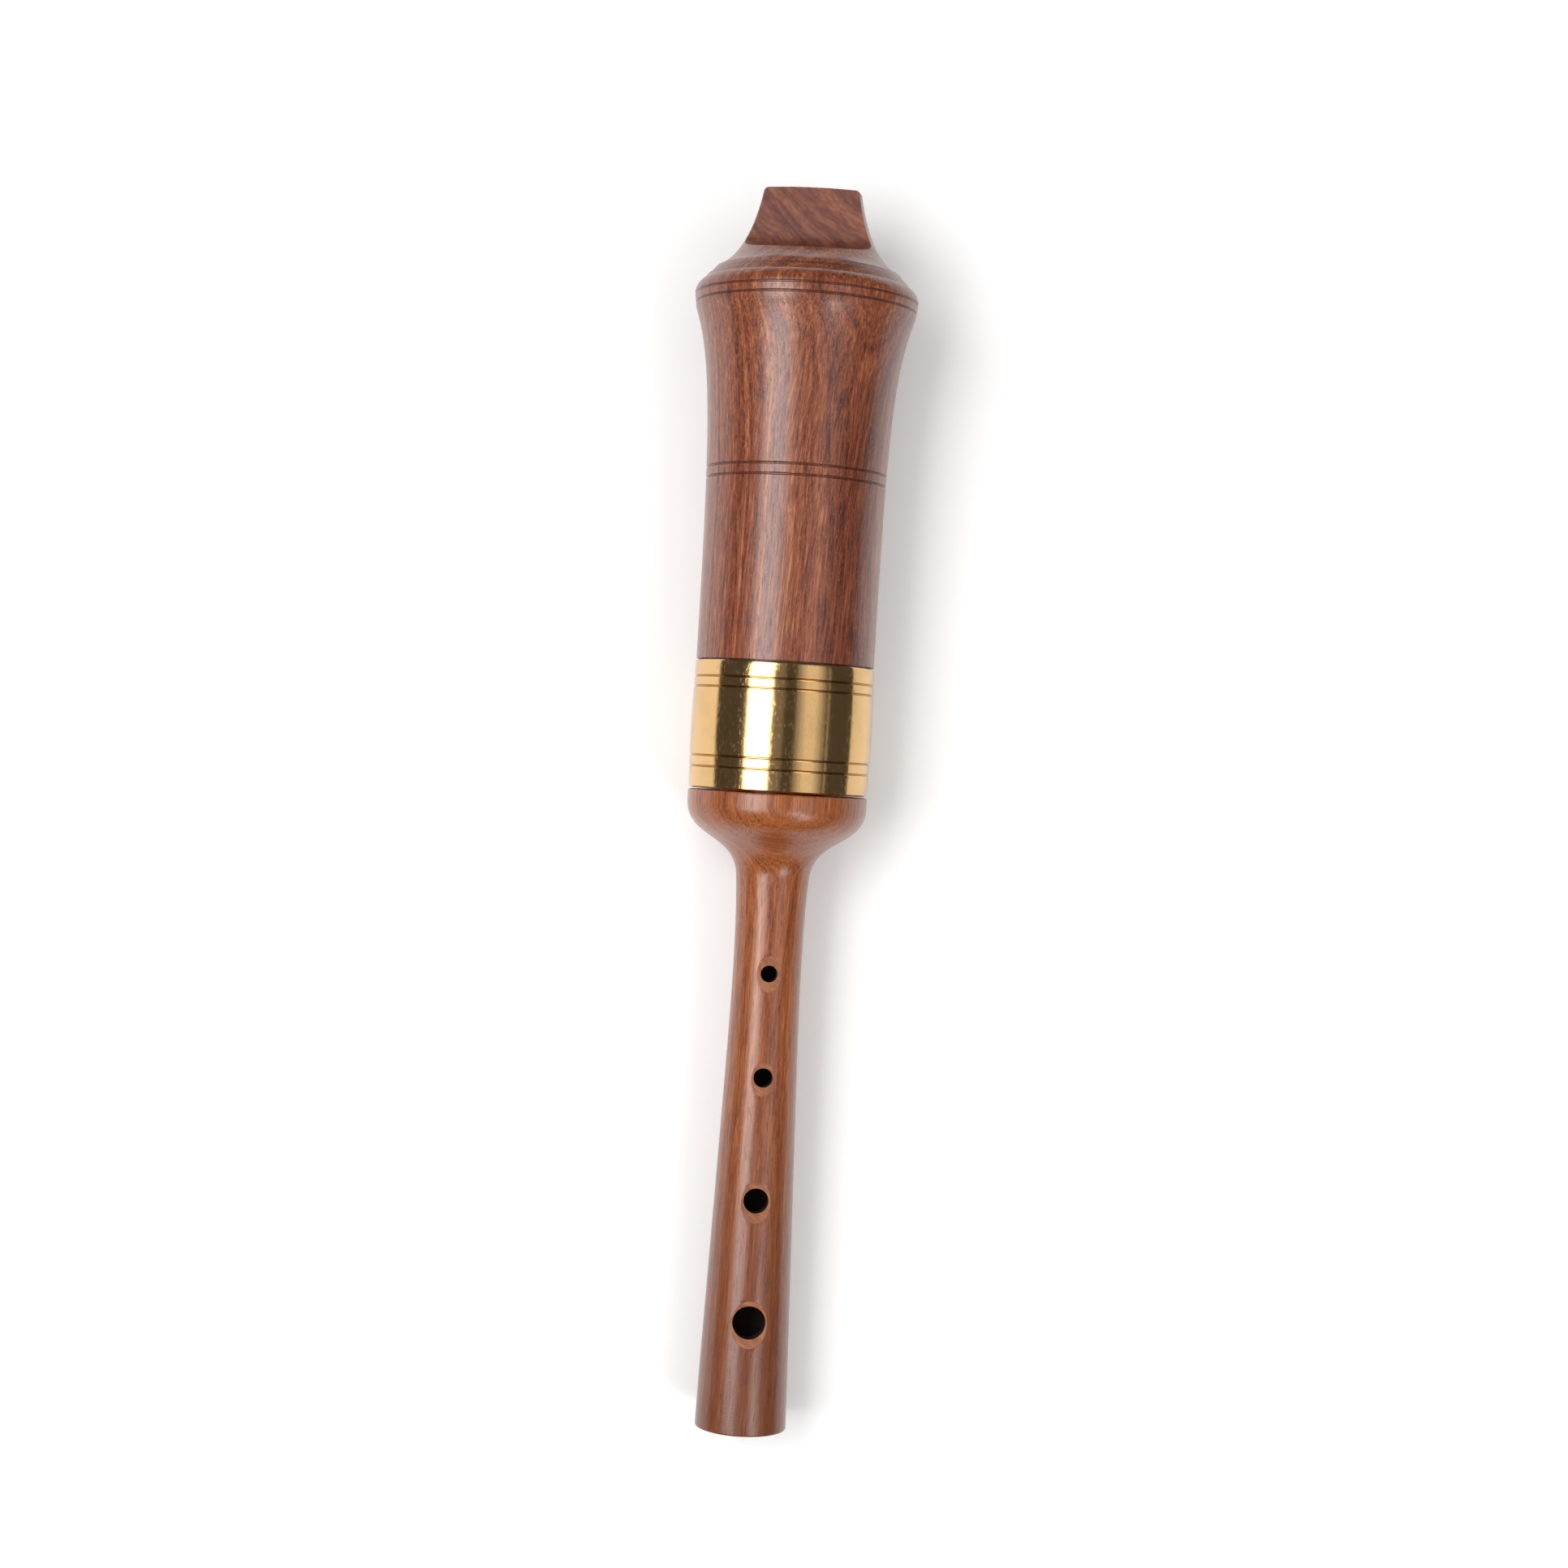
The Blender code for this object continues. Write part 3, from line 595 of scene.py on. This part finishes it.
def make_cap():
    """The cap, with its beak filed flat on both faces and its blowing slot."""
    # Heights of painted shade: the grooves, and a painted shadow line above the shoulder's arris
    painted_shade_lines = (*CAP_GROOVES, SHOULDER_LINE)
    grain = {"pith": (60, 0, 70), "lean": (0.02, 0.0, 0.06)}
    wood = rosewood("cap_rosewood", CAP_STOPS, CAP_SHARES, **grain, grooves=painted_shade_lines, dark_foot=0.0)
    filed = filed_rosewood("filed_rosewood", FLAT_STOPS, roughness=0.46)
    # The walls of the blowing slot take the near-black painted shade
    painted_bore_shade = filed_rosewood("slot_painted_shade", BORE_SHADE_STOPS, roughness=0.55)
    dome = 8
    inside = arc((0, CHAMBER_TOP - dome), (CHAMBER_RADIUS, dome), 90, 0, 16)
    inside[0] = (0, CHAMBER_TOP)
    inside += [(CHAMBER_RADIUS, TENON_TOP + 1), (SOCKET_RADIUS, TENON_TOP + 1)]
    inside += [(SOCKET_RADIUS, CAP_FOOT + 0.3), (SOCKET_RADIUS + 0.3, CAP_FOOT)]
    inside += [(SEAT_RADIUS, CAP_FOOT), (SEAT_RADIUS, FERRULE_TOP + GAP)]
    cap = piece("cap_turning", turned(inside + cap_outline(), False), wood)
    turn = Matrix.Rotation(CAP_TURN, 3, "Z")
    above = LENGTH + SPARE
    ramp = sweep((FLAT_REACH, FLAT_FOOT), FLAT_END, ((0.02, 0.5), (0.17, 0.68)), 24)
    outline = [(TIP_REACH - FLAT_SLOPE * SPARE, above), *ramp]
    outline += [(SPARE_RADIUS, ramp[-1][1]), (SPARE_RADIUS, above)]
    cutters = []
    for name, side in (("flat_front", -1), ("flat_back", 1)):
        ends = (-SPARE_RADIUS, SPARE_RADIUS)
        sections = [[turn @ Vector((x, side * reach, z)) for reach, z in outline] for x in ends]
        cutters.append(piece(name, lofted(sections), filed))
    rounding = (SLOT_RADIUS, SLOT_RADIUS)
    rim = arc((SLOT_END, 0), rounding, -90, 90, 12) + arc((-SLOT_END, 0), rounding, 90, 270, 12)
    slot = [[turn @ Vector((x, y, z)) for x, y in rim] for z in (CHAMBER_TOP - 4, above)]
    cutters.append(piece("blowing_slot", lofted(slot), painted_bore_shade))
    shown(carved(cap, cutters), "cap", "cap_rosewood", "windcap")


def make_ferrule():
    """The brass ferrule, slightly swollen, with its two pairs of scribed lines."""
    colour = (0.66, 0.42, 0.185)
    brass = turned_brass("ferrule_brass", colour, roughness=0.08, depth=0.003, grooves=FERRULE_LINES)
    low, high = (FERRULE_RADIUS, CAP_FOOT + 0.35), (FERRULE_RADIUS, FERRULE_TOP - 0.35)
    middle = (FERRULE_RADIUS + 0.25, (CAP_FOOT + FERRULE_TOP) / 2)
    swell = sweep(low, middle, ((0.5, 0.33), (1.0, 0.67)), 12)
    swell += sweep(middle, high, ((0.0, 0.33), (0.5, 0.67)), 12)[1:]
    outline = [(FERRULE_BORE_RADIUS, FERRULE_TOP), (FERRULE_BORE_RADIUS, CAP_FOOT)]
    outline += [(FERRULE_RADIUS - 0.36, CAP_FOOT), (FERRULE_RADIUS - 0.06, CAP_FOOT + 0.3)]
    outline += scribed(swell, FERRULE_LINES, width=0.5, depth=0.24)
    outline += [(FERRULE_RADIUS - 0.1, FERRULE_TOP - 0.08), (FERRULE_RADIUS - 0.3, FERRULE_TOP)]
    shown(piece("ferrule_ring", turned(outline, True), brass), "cap", "ferrule_brass", "ferrule")


def winding_tree():
    """Geometry Nodes that wind one thread into a close helix."""
    tree = bpy.data.node_groups.new("thread_winding", "GeometryNodeTree")
    for name in ("Turns", "Radius", "Length", "Thread radius"):
        tree.interface.new_socket(name, in_out="INPUT", socket_type="NodeSocketFloat")
    tree.interface.new_socket("Thread", in_out="INPUT", socket_type="NodeSocketMaterial")
    tree.interface.new_socket("Geometry", in_out="OUTPUT", socket_type="NodeSocketGeometry")
    nodes, links = tree.nodes, tree.links
    sizes = nodes.new("NodeGroupInput")
    helix = nodes.new("GeometryNodeCurveSpiral")
    helix.inputs["Resolution"].default_value = 40
    links.new(sizes.outputs["Turns"], helix.inputs["Rotations"])
    links.new(sizes.outputs["Radius"], helix.inputs["Start Radius"])
    links.new(sizes.outputs["Radius"], helix.inputs["End Radius"])
    links.new(sizes.outputs["Length"], helix.inputs["Height"])
    section = nodes.new("GeometryNodeCurvePrimitiveCircle")
    section.inputs["Resolution"].default_value = 8
    links.new(sizes.outputs["Thread radius"], section.inputs["Radius"])
    strand = nodes.new("GeometryNodeCurveToMesh")
    strand.inputs["Fill Caps"].default_value = True
    links.new(helix.outputs[0], strand.inputs["Curve"])
    links.new(section.outputs[0], strand.inputs["Profile Curve"])
    real = nodes.new("GeometryNodeRealizeInstances")
    links.new(strand.outputs[0], real.inputs[0])
    painted = nodes.new("GeometryNodeSetMaterial")
    links.new(real.outputs[0], painted.inputs["Geometry"])
    links.new(sizes.outputs["Thread"], painted.inputs["Material"])
    result = nodes.new("NodeGroupOutput")
    links.new(painted.outputs[0], result.inputs[0])
    return tree


def wound(name, material, tree, low, high, inner, outer, radius):
    """A band of wound thread between two heights: one helix of a thread's radius on a thin core."""
    holder = bpy.data.objects.new(name, bpy.data.meshes.new(name))
    bpy.context.scene.collection.objects.link(holder)
    step = holder.modifiers.new("winding", "NODES")
    step.node_group = tree
    length = high - low - 2 * radius
    sizes = {
        "Turns": length / (2 * radius),
        "Radius": (outer - radius) * MM,
        "Length": length * MM,
        "Thread radius": radius * MM,
        "Thread": material,
    }
    for item in tree.interface.items_tree:
        if item.in_out == "INPUT":
            step[item.identifier] = sizes[item.name]
    settled(holder)
    stand = Matrix.Rotation(math.radians(-90), 4, "X")
    start = Matrix.Translation(lay((0, 0, low + radius)))
    core = outer - radius
    shape = turned([(inner, low), (core, low), (core, high), (inner, high)], True, WINDING_SIDES)
    holder.data.transform(start @ stand)
    shape.from_mesh(holder.data)
    bpy.data.objects.remove(holder)
    return piece(name, shape, material)


def blade_size(rise):
    """Half the width and half the depth across both blades, and their thickness, at a rise above their foot."""
    share = max(0.0, (rise - BLADE_ROUND) / (BLADE_LENGTH - BLADE_ROUND))
    return [mix(foot, tip, share) for foot, tip in zip(BLADE_AT_FOOT, BLADE_AT_TIP)]


def blade_section(rise, side):
    """The C-shaped section of one blade, which stands half the gap off the middle of the reed."""
    width, depth, thick = blade_size(rise)
    outer = arc((0, GAP / 2), (width, depth), 0, 180, 24)
    inner = arc((0, GAP / 2), (width - thick, depth - thick), 180, 0, 24)
    return [(x, side * y, BLADE_FOOT + rise) for x, y in outer + inner]


def make_reed():
    """The reed: staple, blades and the wire that sets them."""
    tube = turned_brass("staple_brass", (0.82, 0.57, 0.25), roughness=0.2, depth=0.001)
    staple = [(2.6, STAPLE_FOOT), (1.9, STAPLE_TOP), (1.4, STAPLE_TOP), (2.1, STAPLE_FOOT)]
    shown(piece("staple_tube", turned(staple, True, SMALL_SIDES), tube), "reed", "staple_brass", "reed_staple")
    scraped = cane("reed_cane")
    rises = [0] + [mix(BLADE_ROUND, BLADE_LENGTH, i / 20) for i in range(21)]
    for name, side in (("blade_front", -1), ("blade_back", 1)):
        blade = lofted([blade_section(rise, side) for rise in rises])
        shown(piece(name, blade, scraped), "reed", "reed_cane", f"reed_{name}")
    width, depth, _ = blade_size(BRIDLE_RISE)
    ring = arc((0, 0), (BRIDLE_WIRE, BRIDLE_WIRE), 0, 360, 12)[1:]
    spread = [(width + 0.65 + r, depth + 0.8 + r, BLADE_FOOT + BRIDLE_RISE + z) for r, z in ring]
    turns = [math.tau * i / BRIDLE_STEPS for i in range(BRIDLE_STEPS)]
    sections = [[(math.cos(turn) * a, math.sin(turn) * b, z) for a, b, z in spread] for turn in turns]
    wire = turned_brass("bridle_brass", (0.80, 0.55, 0.24), roughness=0.18, depth=0.001)
    shown(piece("bridle_wire", lofted(sections, ring=True), wire), "reed", "bridle_brass", "reed_bridle")


def make_threads():
    """The three windings: on the tenon, on the staple in its well, and round the foot of the blades."""
    tree = winding_tree()
    pale, pale_dark = (0.62, 0.49, 0.28), (0.36, 0.25, 0.12)
    waxed = thread("waxed_thread", pale, pale_dark, valley=11.85, crest=12.1)
    seated = thread("seating_thread", pale, pale_dark, valley=3.46, crest=3.64)
    red = thread("reed_thread", (0.42, 0.045, 0.035), (0.20, 0.018, 0.016), valley=4.18, crest=4.34)
    foot, top = LAPPING[0] + GAP, LAPPING[1] - GAP
    lapping = wound("tenon_winding", waxed, tree, foot, top, inner=11.1, outer=12.2, radius=0.4)
    shown(lapping, "chanter", "waxed_thread", "tenon_lapping")
    foot = STAPLE_FOOT + 2.3
    seating = wound("staple_winding", seated, tree, foot, foot + 12.4, inner=2.9, outer=3.7, radius=0.28)
    shown(seating, "reed", "waxed_thread", "staple_lapping")
    foot, top = BLADE_FOOT - GAP, BLADE_FOOT + 8.0
    binding = wound("blade_winding", red, tree, foot, top, inner=3.7, outer=4.4, radius=0.25)
    shown(binding, "reed", "reed_thread", "reed_binding")


def make_stage():
    """A pale floor that the shoulder and the bulb lie on. It fades out towards its rim."""
    finish = Finish("pale_floor", Base_Color=(0.95, 0.95, 0.95, 1), Roughness=0.8)
    fade = finish.level(finish.away((0, 0, 0), axes=(1, 1, 0)), 300, 450, 1.0, 0.0)
    finish.plug(finish.shader.inputs["Alpha"], fade)
    shape = bmesh.new()
    bmesh.ops.create_circle(shape, cap_ends=True, segments=96, radius=0.46)
    fall = math.atan2(WIDEST_RADIUS - BULB_RADIUS, WIDEST - BULB)
    touch = lay((0, WIDEST_RADIUS, WIDEST))
    place = Matrix.Translation(touch) @ Matrix.Rotation(-fall, 4, "X") @ Matrix.Translation(-touch)
    drop = Matrix.Translation((0, 0, touch.z))
    bmesh.ops.transform(shape, matrix=place @ drop, verts=shape.verts)
    floor = piece("floor", shape, finish.material)
    if floor.data.polygons[0].normal.z < 0:
        floor.data.flip_normals()


def make_light(name, degrees, distance, width, length, radiance, along=0.0, mirrored=True):
    """A soft light that faces the instrument, with its width round the instrument and its length along it.

    It stands at an angle from straight above towards +X, and at a place along the instrument."""
    polar = math.radians(degrees)
    data = bpy.data.lights.new(name, "AREA")
    data.shape = "RECTANGLE"
    data.size, data.size_y = length, width
    data.energy = radiance * math.pi * width * length
    lamp = bpy.data.objects.new(name, data)
    lamp.visible_glossy = mirrored
    bpy.context.scene.collection.objects.link(lamp)
    lamp.location = (math.sin(polar) * distance, along, math.cos(polar) * distance)
    lamp.rotation_mode = "QUATERNION"
    lamp.rotation_quaternion = lamp.location.to_track_quat("Z", "Y")


def make_studio():
    """The lights and the surroundings: dim for what they light and reflect, pale where the camera looks past.

    The fills lie one behind the other, each narrower, so that their reflection is brighter in its middle."""
    make_light("key", -33, distance=0.75, width=0.41, length=0.66, radiance=6.0, along=0.05)
    make_light("key_halo", -28, distance=0.78, width=0.75, length=0.90, radiance=0.18)
    for number, width in enumerate((0.52, 0.52 * 0.72, 0.52 * 0.44)):
        make_light(f"fill_{number}", 32, distance=0.75 + 0.01 * number, width=width, length=0.70, radiance=0.32)
    make_light("low_fill", 30, distance=0.80, width=0.42, length=0.22, radiance=6.0, along=-0.42)
    make_light("rim", 55.5, distance=0.75, width=0.008, length=0.60, radiance=1.8)
    make_light("room", 8, distance=1.1, width=1.5, length=1.5, radiance=0.85, mirrored=False)
    world = bpy.data.worlds.new("studio")
    bpy.context.scene.world = world
    world.use_nodes = True
    nodes, links = world.node_tree.nodes, world.node_tree.links
    dim = nodes["Background"]
    dim.inputs["Color"].default_value = (0.100, 0.097, 0.093, 1)
    pale = nodes.new("ShaderNodeBackground")
    pale.inputs["Color"].default_value = (0.98, 0.98, 0.98, 1)
    path = nodes.new("ShaderNodeLightPath")
    both = nodes.new("ShaderNodeMixShader")
    links.new(path.outputs["Is Camera Ray"], both.inputs["Fac"])
    links.new(dim.outputs[0], both.inputs[1])
    links.new(pale.outputs[0], both.inputs[2])
    links.new(both.outputs[0], nodes["World Output"].inputs["Surface"])
    bpy.context.scene.view_settings.view_transform = "Standard"


def make_camera():
    """The camera, straight above the axis but swung to one side, and rolled as the photograph is."""
    data = bpy.data.cameras.new("camera")
    data.sensor_width = SENSOR_MM
    data.lens = SENSOR_MM * FOCAL_PIXELS / PICTURE
    data.shift_x = (PICTURE / 2 - AXIS_POINT[0]) / PICTURE
    data.shift_y = (AXIS_POINT[1] - PICTURE / 2) / PICTURE
    data.clip_start, data.clip_end = 0.01, 10
    camera = bpy.data.objects.new("camera", data)
    bpy.context.scene.collection.objects.link(camera)
    back = Vector((-math.sin(CAMERA_SWING), 0, math.cos(CAMERA_SWING)))
    side = Vector((0, 1, 0)).cross(back)
    right = side * math.cos(CAMERA_ROLL) + Vector((0, 1, 0)) * math.sin(CAMERA_ROLL)
    up = back.cross(right)
    turn = Matrix((right, up, back)).transposed().to_4x4()
    target = lay((0, 0, CAMERA_HEIGHT_UP_AXIS))
    camera.matrix_world = Matrix.Translation(target + back * CAMERA_DISTANCE * MM) @ turn
    bpy.context.scene.camera = camera


make_camera()
make_chanter()
make_cap()
make_ferrule()
make_reed()
make_threads()
make_stage()
make_studio()
